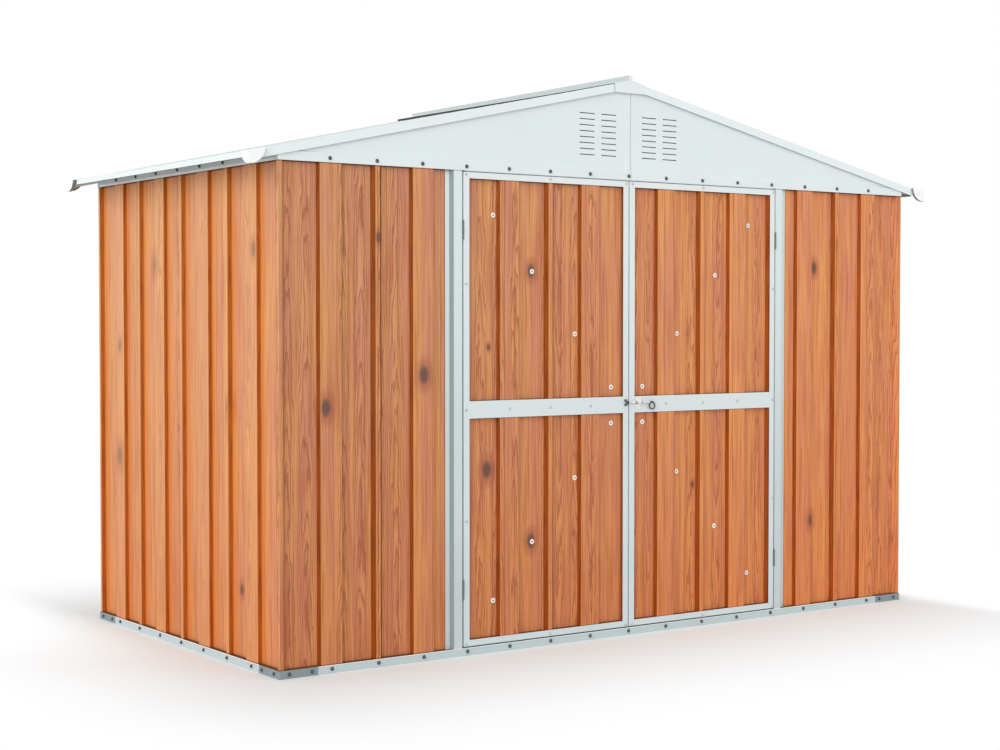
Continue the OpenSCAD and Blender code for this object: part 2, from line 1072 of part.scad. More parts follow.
base_rails_long();
base_rails_side();
base_corners();
front_wall_left();
front_wall_right();
left_wall_front_sheet();
left_wall_back_sheet();
right_wall_front_sheet();
right_wall_back_sheet();
back_wall_left_sheet();
back_wall_right_sheet();
side_top_rails();
door_header();
back_header();
door_post_left();
door_post_right();
gable_front_left();
gable_front_right();
gable_back_left();
gable_back_right();
roof_sheet_left();
roof_sheet_right();
roof_purlins();
ridge_cap();
verge_trim_front_left();
verge_trim_front_right();
verge_trim_back_left();
verge_trim_back_right();
eave_trims();
roof_corner_caps();
door_left_sheet();
door_left_stiles();
door_left_rails();
door_left_braces();
door_right_sheet();
door_right_stiles();
door_right_rails();
door_right_braces();
hinge_plates_fixed();
hinge_plates_left();
hinge_plates_right();
bolt_plate();
bolt_rod();
bolt_handle();
bolt_keeper();
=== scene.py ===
import math

import bmesh
import bpy
from mathutils import Matrix, Vector


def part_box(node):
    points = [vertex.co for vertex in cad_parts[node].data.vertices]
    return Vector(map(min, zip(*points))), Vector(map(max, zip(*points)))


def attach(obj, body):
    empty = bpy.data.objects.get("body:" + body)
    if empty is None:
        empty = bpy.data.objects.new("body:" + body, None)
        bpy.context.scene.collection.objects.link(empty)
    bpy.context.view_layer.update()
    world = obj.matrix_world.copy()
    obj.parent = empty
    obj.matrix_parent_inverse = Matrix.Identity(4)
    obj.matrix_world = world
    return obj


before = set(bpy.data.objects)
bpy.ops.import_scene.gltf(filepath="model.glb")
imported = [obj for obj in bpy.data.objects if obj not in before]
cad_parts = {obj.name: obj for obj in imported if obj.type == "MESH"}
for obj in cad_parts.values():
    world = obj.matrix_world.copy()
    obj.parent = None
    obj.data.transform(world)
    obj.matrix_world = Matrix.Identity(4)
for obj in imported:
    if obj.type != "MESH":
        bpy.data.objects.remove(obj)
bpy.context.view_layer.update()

# Sizes of the shed that the added pieces line up with, in metres. Depths
# (FLAT to JOINER_FACE) are counted outwards from the line of the walls.
WALL_X = 1.6
WALL_Y = 0.8
SHEET_T = 0.001
FLAT = SHEET_T
GABLE_FACE = 0.014
FACE = 0.016
RAIL_FACE = 0.017
PLATE_FACE = FACE + 0.0015
JOINER_FACE = 0.018
JOINER_LEG = 0.159
RIB_STEP = 0.2
RIB_PAIR = 2 * RIB_STEP
RAIL_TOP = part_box("base_rails_long")[1].z
FLANGE_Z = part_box("door_header")[0].z - FLAT
FLANGE_H = 0.034
SIDE_RAIL_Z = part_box("side_top_rails")[0].z
POST_EDGE = -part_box("door_post_left")[1].x
LIP_EDGE = -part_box("door_post_left")[0].x
LEAF_LOW, LEAF_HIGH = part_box("door_left_stiles")
LEAF_RAIL_H = 0.024
MID_RAIL_LOW = 0.9145
MID_RAIL_HIGH = 0.9815
HINGE_STILE = -LEAF_LOW.x - 0.026
MEETING_STILE = -LEAF_HIGH.x + 0.027
PLATE_X = (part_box("bolt_plate")[0].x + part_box("bolt_plate")[1].x) / 2
CORNER_LOW, CORNER_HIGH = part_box("roof_corner_caps")
CORNER_H = 0.047
CORNER_VERGE = 0.068
CORNER_EAVE = 0.054
CORNER_T = 0.002
CORNER_GAP = 0.012
PITCH = math.radians(12.3)
ROOF_RIB = 0.015
RIDGE_GAP = 0.01
PEAK_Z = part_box("roof_sheet_left")[1].z + RIDGE_GAP * math.sin(PITCH)

# ---------------------------------------------------------------- materials


def linear(channel):
    """One sRGB channel, 0 to 255, as the value that the shaders use."""
    c = channel / 255
    return c / 12.92 if c <= 0.04045 else ((c + 0.055) / 1.055) ** 2.4


def srgb(red, green, blue):
    return (linear(red), linear(green), linear(blue), 1.0)


def shaded(colour, factor):
    return tuple(min(1.0, c * factor) for c in colour[:3]) + (1.0,)


class Finish:
    """A material under construction: its nodes and its Principled shader."""

    def __init__(self, name, roughness=0.5, metallic=0.0):
        self.material = bpy.data.materials.new(name)
        self.material.use_nodes = True
        self.tree = self.material.node_tree
        self.shader = self.tree.nodes["Principled BSDF"]
        self.shader.inputs["Roughness"].default_value = roughness
        self.shader.inputs["Metallic"].default_value = metallic
        coords = self.tree.nodes.new("ShaderNodeTexCoord")
        self.point = coords.outputs["Object"]
        self.normal = coords.outputs["Normal"]

    def put(self, socket, value):
        """Feeds a socket from another node's output, or with a plain value."""
        if isinstance(value, bpy.types.NodeSocket):
            self.tree.links.new(value, socket)
        else:
            socket.default_value = value

    def math(self, operation, *values):
        node = self.tree.nodes.new("ShaderNodeMath")
        node.operation = operation
        for socket, value in zip(node.inputs, values):
            self.put(socket, value)
        return node.outputs[0]

    def add(self, first, second):
        return self.math("ADD", first, second)

    def times(self, first, second):
        return self.math("MULTIPLY", first, second)

    def size_of(self, value):
        return self.math("ABSOLUTE", value)

    def split(self, vector):
        node = self.tree.nodes.new("ShaderNodeSeparateXYZ")
        self.put(node.inputs[0], vector)
        return node.outputs

    def join(self, x, y, z):
        node = self.tree.nodes.new("ShaderNodeCombineXYZ")
        for socket, value in zip(node.inputs, (x, y, z)):
            self.put(socket, value)
        return node.outputs[0]

    def scaled(self, vector, factors):
        node = self.tree.nodes.new("ShaderNodeVectorMath")
        node.operation = "MULTIPLY"
        self.put(node.inputs[0], vector)
        node.inputs[1].default_value = factors
        return node.outputs[0]

    def noise(self, vector, scale, detail=2.0, roughness=0.5):
        node = self.tree.nodes.new("ShaderNodeTexNoise")
        self.put(node.inputs["Vector"], vector)
        self.put(node.inputs["Scale"], scale)
        self.put(node.inputs["Detail"], detail)
        self.put(node.inputs["Roughness"], roughness)
        return node.outputs[0]

    def random(self, value):
        node = self.tree.nodes.new("ShaderNodeTexWhiteNoise")
        node.noise_dimensions = "1D"
        self.put(node.inputs["W"], value)
        return node.outputs["Value"]

    def span(self, value, low, high, out_low=0.0, out_high=1.0):
        """value carried from low..high to out_low..out_high, eased and kept inside."""
        node = self.tree.nodes.new("ShaderNodeMapRange")
        node.interpolation_type = "SMOOTHSTEP"
        for socket, number in zip(node.inputs, (value, low, high, out_low, out_high)):
            self.put(socket, number)
        return node.outputs[0]

    def mix(self, factor, first, second, kind="MIX"):
        node = self.tree.nodes.new("ShaderNodeMix")
        node.data_type = "RGBA"
        node.blend_type = kind
        self.put(node.inputs[0], factor)
        self.put(node.inputs[6], first)
        self.put(node.inputs[7], second)
        return node.outputs[2]

    def bump(self, height, distance, strength=1.0):
        node = self.tree.nodes.new("ShaderNodeBump")
        node.inputs["Strength"].default_value = strength
        node.inputs["Distance"].default_value = distance
        self.put(node.inputs["Height"], height)
        self.put(self.shader.inputs["Normal"], node.outputs[0])

    def colour(self, value):
        self.put(self.shader.inputs["Base Color"], value)

    def roughness(self, value):
        self.put(self.shader.inputs["Roughness"], value)

    def gloss(self, value):
        self.put(self.shader.inputs["Specular IOR Level"], value)


# Colour of the painted shadow lines that painted() draws, and how much of it shows
EDGE_SHADOW = srgb(120, 130, 132)
EDGE_SHADOW_STRENGTH = 0.6


def painted(name, high, low=None, roughness=0.45, flank=None, upright=None, under=None, lines=()):
    """Factory paint on sheet steel, darker towards the ground by a painted shade.

    high and low are the shades at eave height and at the foot. flank is the
    painted shade of folds that slope to the side, upright that of faces that
    look straight to the side, and under that of faces that look down. lines
    are painted shadow lines beside edges: (axis, place, half width).
    """
    look = Finish(name, roughness)
    place = look.split(look.point)
    facing = look.split(look.normal)
    sideways = look.size_of(facing[0])
    cloud = look.noise(look.point, 2.5, 3.0)
    fine = look.noise(look.point, 900.0, 2.0)
    # Darker towards the ground: a painted shade
    colour = look.mix(look.span(place[2], 0.0, 2.0), low or high, high)
    colour = look.mix(look.span(cloud, 0.3, 0.7, 0.0, 0.35), colour, shaded(high, 0.93))
    # Painted shade on folds that slope to the side
    if flank is not None:
        slope = look.times(look.span(sideways, 0.2, 0.45), look.span(sideways, 0.999, 0.97))
        colour = look.mix(slope, colour, flank)
    # Painted shade on faces that look straight to the side
    if upright is not None:
        colour = look.mix(look.span(sideways, 0.97, 0.99), colour, upright)
    # Painted shade on faces that look down
    if under is not None:
        colour = look.mix(look.span(facing[2], -0.2, -0.6), colour, under)
    # Painted shadow lines beside edges
    for axis, middle, half in lines:
        joint = look.math("COMPARE", place[axis], middle, half)
        colour = look.mix(look.times(joint, EDGE_SHADOW_STRENGTH), colour, EDGE_SHADOW)
    look.colour(colour)
    look.roughness(look.span(cloud, 0.3, 0.7, roughness - 0.04, roughness + 0.06))
    look.bump(fine, 0.0002, 0.2)
    return look.material


def bare_metal(name, shade, roughness, spangle, metallic=0.85):
    """Zinc or dull steel: crystals of slightly different shade, fine scratches."""
    look = Finish(name, roughness, metallic)
    cells = look.tree.nodes.new("ShaderNodeTexVoronoi")
    look.put(cells.inputs["Vector"], look.point)
    cells.inputs["Scale"].default_value = spangle
    tone = look.split(cells.outputs["Color"])[0]
    scratch = look.noise(look.scaled(look.point, (40.0, 400.0, 400.0)), 4.0, 3.0)
    tone = look.add(look.times(tone, 0.6), look.times(scratch, 0.4))
    look.colour(look.mix(tone, shaded(shade, 0.85), shaded(shade, 1.1)))
    look.roughness(look.span(scratch, 0.3, 0.7, roughness - 0.08, roughness + 0.1))
    look.bump(scratch, 0.0001, 0.3)
    return look.material


def plated_tunnel_with_shade(name, shade, dark, ends):
    """Plated steel of the slide bolt's plate, with painted shade at the open ends of its tunnel.

    ends are the places on X: (middle, half width). Only what stands proud
    of the plate's own face takes the painted shade there.
    """
    look = Finish(name, 0.45, metallic=0.1)
    x, y, _ = look.split(look.point)
    face = WALL_Y + PLATE_FACE
    proud = look.span(look.times(y, -1.0), face + 0.0001, face + 0.0011)
    near = None
    for middle, half in ends:
        here = look.math("COMPARE", x, middle, half)
        near = here if near is None else look.math("MAXIMUM", near, here)
    tone = look.span(look.noise(look.point, 300.0), 0.3, 0.7, 0.0, 0.12)
    # Painted shade at the open ends of the tunnel
    colour = look.mix(look.times(proud, near), shade, dark)
    look.colour(look.mix(tone, colour, shaded(shade, 0.8)))
    return look.material


# ------------------------------------------------------ the wood-grain print, with painted light and shade

# Width of the strips of wood that are printed side by side, and of the
# boards that the arches of the grain run in
STRIP = 0.048
BOARD = 1.6 * STRIP
# Arches in a metre of height, how much they rise towards the middle of the
# board, and how much they wander, both counted in arches
ARCH_RATE = 3.6
ARCH_RISE = 3.4
ARCH_WANDER = 4.2
# Where the feet and the tops of the two kinds of rib begin in each repeat
WIDE_FOOT = 0.147
WIDE_TOP = 0.155
NARROW_FOOT = 0.376
NARROW_TOP = 0.390
# Heights over the flat of the sheet between which the look of a rib's top
# sets in, and between which that of the flat does
ON_TOP = (0.011, 0.0145)
ON_FLAT = (0.003, 0.0015)
# On the long walls, folds nearer to the corner line than this keep little of the painted fold shade
CORNER_STRIP = 0.038
# The painted crease shadows end this far from where they are darkest
CREASE_SHADOW_REACH = 0.012
# Shades of the strips, the grain and the knots; the painted shade of the ribs'
# folds, their painted highlights and painted warm glow, the painted crease
# shadows, and the tints of painted light and shade that are laid over the print
WOOD_PINK = srgb(227, 151, 117)
WOOD_GOLD = srgb(240, 167, 108)
RIB_TOP_HIGHLIGHT = srgb(244, 180, 128)
WOOD_DEEP = srgb(188, 96, 40)
WOOD_LINE = srgb(150, 74, 32)
WOOD_ARCH = srgb(156, 76, 48)
WOOD_SHADE = srgb(182, 110, 82)
WOOD_HALO = srgb(168, 94, 64)
WOOD_KNOT = srgb(100, 76, 72)
FOLD_SHADE = srgb(176, 86, 24)
FOLD_SHADE_GRAIN = srgb(142, 64, 14)
RIB_EDGE_HIGHLIGHT = srgb(243, 163, 92)
GLOW = srgb(232, 130, 48)
CREASE_SHADOW = srgb(92, 48, 28)
# Painted shade towards the foot, and tints of painted light along the front and on the sides
FOOT_SHADE = (0.93, 0.76, 0.58, 1.0)
COOL_LIGHT_TINT = (0.84, 0.90, 0.95, 1.0)
WARM_LIGHT_TINT = (1.0, 0.93, 0.80, 1.0)
SIDE_LIGHT_TINT = (0.94, 1.0, 0.97, 1.0)
SHEET_BACK = srgb(206, 205, 198)


def grain_round_knots(look, along, z, knots):
    """How near a point is to a knot, and how far the knots push the grain aside."""
    nearest, bend = None, None
    for place, height, radius in knots:
        du = look.math("DIVIDE", look.math("SUBTRACT", along, place), radius)
        dz = look.math("DIVIDE", look.math("SUBTRACT", z, height), radius * 1.6)
        squared = look.add(look.times(du, du), look.times(dz, dz))
        push = look.math("DIVIDE", radius, look.add(squared, 1.0))
        push = look.times(push, look.math("TANH", du))
        bend = push if bend is None else look.add(bend, push)
        nearest = squared if nearest is None else look.math("MINIMUM", nearest, squared)
    return nearest, bend


def line_end(axis):
    """Half the length of a wall, from its middle to its corner line."""
    return (WALL_X, WALL_Y)[axis]


def soft_strips(look, along, z, drift, seed):
    """The tone from strip to strip, and the thin lines between some of them."""
    step = look.math("DIVIDE", look.add(along, look.times(drift, 0.3)), STRIP)
    strip = look.math("FLOOR", step)
    side = look.size_of(look.math("SUBTRACT", look.math("FRACT", step), 0.5))
    streak = look.join(look.add(along, look.times(drift, 0.5)), seed, look.times(z, 0.08))
    tone = look.times(look.noise(streak, 24.0, 2.0), 0.85)
    tone = look.add(tone, look.times(look.random(look.add(strip, seed + 0.5)), 0.15))
    kind = look.random(look.add(strip, seed + 97.5))
    seam = look.times(look.span(side, 0.46, 0.49), look.span(kind, 0.3, 0.85, 0.1, 0.75))
    return tone, seam


def arched_grain(look, along, z, drift, seed):
    """The long arches that some of the boards show, and the pools between them."""
    plank = look.math("DIVIDE", look.add(along, look.times(drift, 0.6)), BOARD)
    board = look.math("FLOOR", plank)
    centre = look.times(look.math("SUBTRACT", look.math("FRACT", plank), 0.5), 2.0)
    wander = look.noise(look.join(along, board, look.times(z, 0.12)), 30.0, 3.0)
    way = look.random(look.add(board, seed + 55.5))
    way = look.math("SUBTRACT", look.times(look.math("GREATER_THAN", way, 0.45), 2.0), 1.0)
    arch = look.times(look.times(z, way), ARCH_RATE)
    arch = look.add(arch, look.times(look.times(centre, centre), ARCH_RISE))
    arch = look.times(look.add(arch, look.times(wander, ARCH_WANDER)), 2 * math.pi)
    figured = look.span(look.random(look.add(board, seed + 211.5)), 0.45, 0.6)
    figured = look.times(figured, look.span(look.size_of(centre), 1.0, 0.7))
    arches = look.times(look.span(look.math("SINE", arch), 0.5, 0.98), figured)
    pools = look.times(look.span(look.math("SINE", look.add(arch, 1.1)), 0.0, 1.0), figured)
    return arches, pools


def grain(look, along, z, knots, seed):
    """The colour of the print on the flat of a sheet, and its finest lines."""
    nearest, bend = grain_round_knots(look, along, z, knots)
    warp = look.noise(look.join(along, 0.0, look.times(z, 0.45)), 7.0, 2.0)
    drift = look.times(look.math("SUBTRACT", warp, 0.5), 0.016)
    u = look.math("SUBTRACT", look.add(along, drift), bend)
    tone, seam = soft_strips(look, along, z, drift, seed)
    arches, pools = arched_grain(look, along, z, drift, seed)
    # Straight grain: the finest lines, wider ones, and broad streaks
    fine = look.noise(look.join(u, 0.0, look.times(z, 0.02)), 260.0, 2.0)
    lines = look.noise(look.join(u, 5.0, look.times(z, 0.015)), 130.0, 2.0, 0.6)
    broad = look.noise(look.join(u, 3.0, look.times(z, 0.04)), 60.0, 3.0)

    colour = look.mix(look.span(tone, 0.35, 0.65), WOOD_PINK, WOOD_GOLD)
    colour = look.mix(look.span(broad, 0.45, 0.75, 0.0, 0.5), colour, WOOD_DEEP)
    colour = look.mix(look.span(lines, 0.48, 0.75, 0.0, 0.5), colour, WOOD_DEEP)
    colour = look.mix(look.span(fine, 0.42, 0.8, 0.0, 0.45), colour, WOOD_DEEP)
    colour = look.mix(look.times(pools, 0.3), colour, WOOD_SHADE)
    colour = look.mix(look.times(arches, 0.5), colour, WOOD_ARCH)
    colour = look.mix(seam, colour, WOOD_LINE)
    colour = look.mix(look.span(nearest, 6.0, 0.6, 0.0, 0.5), colour, WOOD_HALO)
    colour = look.mix(look.span(nearest, 1.5, 0.1, 0.0, 0.85), colour, WOOD_KNOT)
    return colour, fine


def shaded_folds(look, colour, fine, along, across, glow):
    """The folds of the ribs take a painted shade, deeper without glow, and are less glossy."""
    fold = look.span(look.size_of(across), 0.2, 0.5)
    if not glow:
        strip = WALL_X - CORNER_STRIP
        inner = look.span(look.size_of(along), strip, strip + 0.003, 1.0, 0.2)
        fold = look.times(fold, inner)
    look.gloss(look.span(fold, 0.0, 1.0, 0.3, 0.05))
    # Painted shade of the folds; on the walls without glow it is darker
    depth = 1.0 if glow else 0.78
    shade = look.mix(look.span(fine, 0.4, 0.7), shaded(FOLD_SHADE, depth), shaded(FOLD_SHADE_GRAIN, depth))
    return look.mix(look.times(fold, 0.95), colour, shade)


def lit_ribs(look, colour, along, depth, end, glow):
    """A painted highlight along the left edge of each rib's top.

    With glow, the tops take a painted highlight too, and the flats take a
    painted warm glow towards the foot of each rib.
    """
    pair = look.math("FRACT", look.math("DIVIDE", look.add(along, end), RIB_PAIR))
    pair = look.times(pair, RIB_PAIR)
    narrow = look.math("GREATER_THAN", pair, RIB_STEP + 0.02)
    top = look.math("SUBTRACT", pair, look.times(narrow, NARROW_TOP - WIDE_TOP))
    begins = look.span(top, WIDE_TOP - 0.0015, WIDE_TOP + 0.001)
    light = look.times(begins, look.span(top, WIDE_TOP + 0.008, WIDE_TOP + 0.004))
    raised = look.span(depth, *ON_TOP)
    raised = look.times(raised, look.span(look.size_of(along), end - 0.02, end - 0.03))
    # Painted highlight along the left edge of each rib's top
    colour = look.mix(look.times(look.times(light, raised), 0.4), colour, RIB_EDGE_HIGHLIGHT)
    if not glow:
        return colour
    # Painted highlight on the rib tops
    colour = look.mix(look.times(raised, 0.3), colour, RIB_TOP_HIGHLIGHT)
    # Painted warm glow on the flats towards the foot of each rib
    foot = look.math("SUBTRACT", pair, look.times(narrow, NARROW_FOOT - WIDE_FOOT))
    flat = look.span(depth, *ON_FLAT)
    reach = look.times(look.span(foot, WIDE_FOOT - 0.062, WIDE_FOOT), flat)
    return look.mix(look.times(reach, 0.6), colour, GLOW)


def shade_creases(look, colour, places, creases):
    """Painted shadow lines where the sheet goes under its frame; places holds z and v."""
    dark = None
    for key, start, full, strength in creases:
        band = look.span(places[key], start, full, 0.0, strength)
        band = look.times(band, look.math("COMPARE", places[key], full, CREASE_SHADOW_REACH))
        dark = band if dark is None else look.math("MAXIMUM", dark, band)
    return look.mix(dark, colour, CREASE_SHADOW)


def wood_print_and_light(name, axis, outward, knots, creases, glow=False):
    """Wood-grain print on the outer side of a ribbed sheet, plain coat behind,
    with painted light and shade laid over the print.

    axis is the direction that runs along the wall, 0 for X and 1 for Y, and
    outward says on which side of the wall the print lies. knots are the
    places (along, height, radius) of the printed knots. creases are the
    painted shadow lines against the frame: ("z" or "v", where it starts,
    where it is full, how dark), with v the distance from the middle of the
    wall. glow is for the walls that the light rakes: their ribs take painted
    highlights and a painted warm glow.
    """
    look = Finish(name, 0.46)
    parts = look.split(look.point)
    along, z = parts[axis], parts[2]
    facing = look.split(look.normal)
    cross, across = facing[1 - axis], facing[axis]
    depth = look.math("SUBTRACT", look.times(parts[1 - axis], outward), line_end(1 - axis))

    colour, fine = grain(look, along, z, knots, 31.0 * axis + 7.0 * outward)
    colour = shaded_folds(look, colour, fine, along, across, glow)
    colour = lit_ribs(look, colour, along, depth, line_end(axis), glow)

    # Painted shade towards the foot; tints of painted light, cooler to warmer along the front, and
    # their own on the sides
    low = look.math("POWER", look.span(z, 1.95, -0.5), 1.1)
    colour = look.mix(low, colour, FOOT_SHADE, "MULTIPLY")
    tint = SIDE_LIGHT_TINT if axis == 1 else look.mix(look.span(along, -WALL_X, WALL_X), COOL_LIGHT_TINT, WARM_LIGHT_TINT)
    colour = look.mix(1.0, colour, tint, "MULTIPLY")
    # Painted shadow lines against the frame
    colour = shade_creases(look, colour, {"z": z, "v": look.size_of(along)}, creases)
    behind = look.span(look.times(cross, outward), 0.0, 0.15, 1.0, 0.0)
    look.colour(look.mix(behind, colour, SHEET_BACK))
    look.roughness(look.span(fine, 0.3, 0.8, 0.42, 0.54))
    look.bump(fine, 0.0002, 0.25)
    return look.material


# -------------------------------------------------- what each piece looks like

# Printed knots of each wall: (along the wall, height, radius)
FRONT_KNOTS = [
    (-0.997, 1.086, 0.022), (-1.422, 0.973, 0.022), (1.072, 1.526, 0.018),
    (1.049, 0.405, 0.020), (-1.20, 1.60, 0.013),
]
DOOR_KNOTS = [
    (-0.486, 1.487, 0.018), (-0.486, 0.420, 0.020), (-0.698, 0.712, 0.022),
    (-0.690, 1.189, 0.008), (0.36, 0.60, 0.010),
]
SIDE_KNOTS = [
    (0.255, 1.518, 0.026), (-0.414, 0.966, 0.022), (0.601, 0.722, 0.026),
    (0.594, 1.189, 0.015), (-0.625, 1.553, 0.020), (-0.492, 0.284, 0.014),
]
BACK_KNOTS = [(0.9, 1.2, 0.022), (-0.3, 0.6, 0.02), (-1.2, 1.5, 0.02)]
RIGHT_KNOTS = [(0.3, 0.8, 0.022), (-0.4, 1.4, 0.02)]
# Painted shadow lines against the frames, as the wood print material takes them
WALL_CREASE_SHADOWS = [("z", FLANGE_Z - 0.007, FLANGE_Z, 0.8), ("z", RAIL_TOP + 0.007, RAIL_TOP, 0.8)]
SIDE_CREASE_SHADOWS = [("z", SIDE_RAIL_Z - 0.007, SIDE_RAIL_Z, 0.8), ("z", RAIL_TOP + 0.007, RAIL_TOP, 0.8)]
FRONT_CREASE_SHADOWS = WALL_CREASE_SHADOWS + [("v", LIP_EDGE + 0.006, LIP_EDGE, 0.8)]
DOOR_CREASE_SHADOWS = [
    ("z", LEAF_HIGH.z - LEAF_RAIL_H - 0.006, LEAF_HIGH.z - LEAF_RAIL_H, 0.8),
    ("z", MID_RAIL_HIGH + 0.005, MID_RAIL_HIGH, 0.8),
    ("z", MID_RAIL_LOW - 0.005, MID_RAIL_LOW, 0.8),
    ("z", LEAF_LOW.z + LEAF_RAIL_H + 0.005, LEAF_LOW.z + LEAF_RAIL_H, 0.8),
    ("v", HINGE_STILE - 0.006, HINGE_STILE, 0.6),
    ("v", MEETING_STILE + 0.004, MEETING_STILE, 0.3),
]
# Painted shadow lines, as painted() takes them: beside the lap of the gable
# halves, at the edge of the ridge cap's end plate, and at the head of the posts
GABLE_LAP = (0, 0.0075, 0.0015)
END_PLATE = (0, -0.0825, 0.0015)
POST_HEAD = (2, FLANGE_Z - 0.001, 0.0025)
# Dark steel of the keeper, and the painted shade at the open ends of the bolt plate's tunnel
KEEPER_DARK_AND_TUNNEL_SHADE = srgb(58, 60, 57)
TUNNEL_ENDS = [(PLATE_X - 0.0145, 0.0022), (PLATE_X + 0.0145, 0.0022)]
PALE = srgb(230, 238, 239)
# Painted shade on the sloping flanks of the door posts
POST_FLANK_SHADOW = srgb(136, 148, 149)
MATERIALS = {
    # Wood prints: painted fold shade and painted shadow lines under tints of painted light; the side
    # walls add painted highlights and a painted warm glow
    "front_wood": wood_print_and_light("wood_print_front", 0, -1.0, FRONT_KNOTS, FRONT_CREASE_SHADOWS),
    "door_wood": wood_print_and_light("wood_print_doors", 0, -1.0, DOOR_KNOTS, DOOR_CREASE_SHADOWS),
    "back_wood": wood_print_and_light("wood_print_back", 0, 1.0, BACK_KNOTS, WALL_CREASE_SHADOWS),
    "left_wood": wood_print_and_light("wood_print_left", 1, -1.0, SIDE_KNOTS, SIDE_CREASE_SHADOWS, glow=True),
    "right_wood": wood_print_and_light("wood_print_right", 1, 1.0, RIGHT_KNOTS, SIDE_CREASE_SHADOWS, glow=True),
    # Gables: a painted shadow line beside the lap strip
    "gable": painted("gable_paint", PALE, lines=[GABLE_LAP]),
    # Door posts: painted shade on their sloping flanks, and a painted shadow line at their head
    "post": painted(
        "post_paint", srgb(225, 235, 235), srgb(196, 206, 208),
        flank=POST_FLANK_SHADOW, lines=[POST_HEAD],
    ),
    "leaf": painted("leaf_frame_paint", srgb(232, 237, 236), srgb(208, 221, 224)),
    # Trims: a painted shade on the faces that look down
    "trim": painted("trim_paint", srgb(235, 243, 243), under=srgb(122, 130, 130)),
    # Ridge cap: painted shade on its upright sides, and a painted shadow line at its end plate's edge
    "ridge": painted(
        "ridge_paint", srgb(232, 240, 240), upright=srgb(192, 202, 201), lines=[END_PLATE],
    ),
    "corner": painted("corner_cap_plastic", srgb(251, 252, 252), roughness=0.5),
    # Rims of the corner caps: their dark grey is a painted shade
    "rim": painted("corner_cap_rims_shaded", srgb(126, 131, 131), roughness=0.5),
    # Vent mesh: dark, standing in for the shade inside the gables as well
    "mesh": painted("vent_mesh_and_shade", srgb(44, 46, 46), roughness=0.8),
    "washer": painted("washer_plastic", srgb(246, 243, 236), roughness=0.5),
    # Roof sheets: the underside is their back coat, darkened with a painted shade
    "roof": painted("roof_paint", srgb(221, 229, 229), under=srgb(150, 154, 153)),
    "rail": painted("rail_paint", srgb(194, 208, 210)),
    # Hems: lighter than the rails they edge, a painted highlight
    "hem": painted("hem_highlight_paint", srgb(248, 251, 251)),
    "joiner": painted("joiner_paint", srgb(134, 149, 154)),
    "shade_rail": painted("top_rail_paint", srgb(212, 224, 224)),
    "stop": painted("door_stop_paint", srgb(206, 216, 218), srgb(176, 198, 202)),
    # Ridge foam: dark, standing in for the shadow gap under the cap as well
    "foam": painted("ridge_foam_and_shadow", srgb(58, 50, 47), roughness=0.9),
    # Bolt plate: painted shade at the ends of its tunnel
    "plate": plated_tunnel_with_shade("bolt_plate_zinc", srgb(238, 238, 235), KEEPER_DARK_AND_TUNNEL_SHADE, TUNNEL_ENDS),
    "zinc": bare_metal("galvanised_steel", srgb(190, 194, 194), 0.42, 60.0),
    "screw": bare_metal("screw_zinc", srgb(192, 203, 206), 0.45, 300.0, 0.2),
    "rod": bare_metal("bright_zinc_rod", srgb(238, 240, 236), 0.3, 300.0, 0.4),
    "ring": bare_metal("ring_steel", srgb(62, 64, 63), 0.45, 300.0, 0.2),
    "hinge": bare_metal("hinge_steel", srgb(108, 114, 115), 0.5, 200.0, 0.4),
    "bolt": bare_metal("bolt_steel", srgb(86, 91, 91), 0.38, 400.0, 0.4),
    "keeper": bare_metal("keeper_steel", KEEPER_DARK_AND_TUNNEL_SHADE, 0.5, 300.0, 0.2),
}


DRESSED = {
    "front_wood": ["front_wall_left", "front_wall_right"],
    "door_wood": ["door_left_sheet", "door_right_sheet"],
    "back_wood": ["back_wall_left_sheet", "back_wall_right_sheet"],
    "left_wood": ["left_wall_front_sheet", "left_wall_back_sheet"],
    "right_wood": ["right_wall_front_sheet", "right_wall_back_sheet"],
    "gable": [
        "door_header", "back_header", "gable_front_left", "gable_front_right",
        "gable_back_left", "gable_back_right",
    ],
    "post": ["door_post_left", "door_post_right"],
    "leaf": ["door_left_stiles", "door_left_rails", "door_right_stiles", "door_right_rails"],
    "trim": [
        "verge_trim_front_left", "verge_trim_front_right", "verge_trim_back_left",
        "verge_trim_back_right", "eave_trims",
    ],
    "ridge": ["ridge_cap"],
    "corner": ["roof_corner_caps"],
    "roof": ["roof_sheet_left", "roof_sheet_right"],
    "rail": ["base_rails_long", "base_rails_side"],
    "joiner": ["base_corners"],
    "shade_rail": ["side_top_rails"],
    "zinc": ["roof_purlins", "door_left_braces", "door_right_braces"],
    "plate": ["bolt_plate"],
    "rod": ["bolt_rod"],
    "ring": ["bolt_handle"],
    "keeper": ["bolt_keeper"],
    "hinge": ["hinge_plates_fixed", "hinge_plates_left", "hinge_plates_right"],
}
for key, nodes in DRESSED.items():
    for node in nodes:
        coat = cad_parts[node].data.materials
        coat.clear()
        coat.append(MATERIALS[key])

# ------------------------------------------------------------------- pieces


def lathe(mesh, profile, sides, place, normal, spin=0.0):
    """Turns a profile of (radius, height) round normal at place.

    A radius of zero closes the shape in one point.
    """
    turn = Vector(normal).to_track_quat("Z", "Y").to_matrix().to_4x4()
    whole = Matrix.Translation(place) @ turn @ Matrix.Rotation(spin, 4, "Z")
    rings = []
    for radius, height in profile:
        count = sides if radius else 1
        angles = [2 * math.pi * k / sides for k in range(count)]
        points = [Vector((radius * math.cos(a), radius * math.sin(a), height)) for a in angles]
        rings.append([mesh.verts.new(whole @ point) for point in points])
    for low, high in zip(rings, rings[1:]):
        for k in range(sides):
            n = k + 1
            corners = [low[k % len(low)], low[n % len(low)], high[n % len(high)], high[k % len(high)]]
            # At a point two of the corners are one, and count once
            mesh.faces.new(list(dict.fromkeys(corners)))
    if len(rings[0]) > 1:
        mesh.faces.new(rings[0][::-1])


